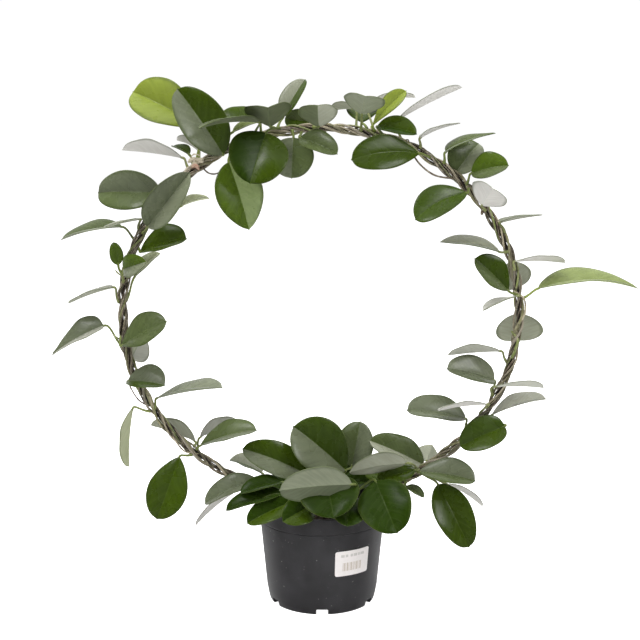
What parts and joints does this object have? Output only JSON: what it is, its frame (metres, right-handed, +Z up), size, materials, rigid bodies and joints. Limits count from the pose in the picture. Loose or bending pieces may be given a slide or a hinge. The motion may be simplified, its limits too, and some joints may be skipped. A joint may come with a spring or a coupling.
{
  "type": "potted hoya plant",
  "caption": "Hoya with thick oval leaves, its stems twined round an upright wire hoop that stands in the soil of a small round black nursery pot with a plain sticker.",
  "frame": {"origin": "on the pot's axis, at the flat pad in the middle of its underside, on the surface that the pot stands on", "axes": "+Z up; +X to the right of the hoop as seen from the front, in the hoop's plane; -Y is the front, where the label is"},
  "size_m": [0.5432, 0.1529, 0.491],
  "materials": {
    "pot": "satin",
    "label": "satin",
    "soil": "rough",
    "hoop_wire": "matt",
    "foliage": "glossy"
  },
  "bodies": {
    "root": {"pot": "pot", "label": "label", "soil": "soil", "hoop": "hoop_wire", "vine_1_length_1": "foliage", "vine_1_length_2": "foliage", "vine_1_length_3": "foliage", "vine_1_length_4": "foliage", "vine_1_length_5": "foliage", "vine_1_length_6": "foliage", "vine_2_length_1": "foliage", "vine_2_length_2": "foliage", "vine_2_length_3": "foliage", "vine_2_length_4": "foliage", "vine_2_length_5": "foliage", "vine_2_length_6": "foliage", "vine_3_length_1": "foliage", "vine_3_length_2": "foliage", "vine_3_length_3": "foliage", "vine_3_length_4": "foliage", "vine_3_length_5": "foliage", "vine_3_length_6": "foliage", "shoot_left": "foliage", "shoot_front": "foliage", "shoot_centre": "foliage", "shoot_back": "foliage"}
  },
  "joints": []
}
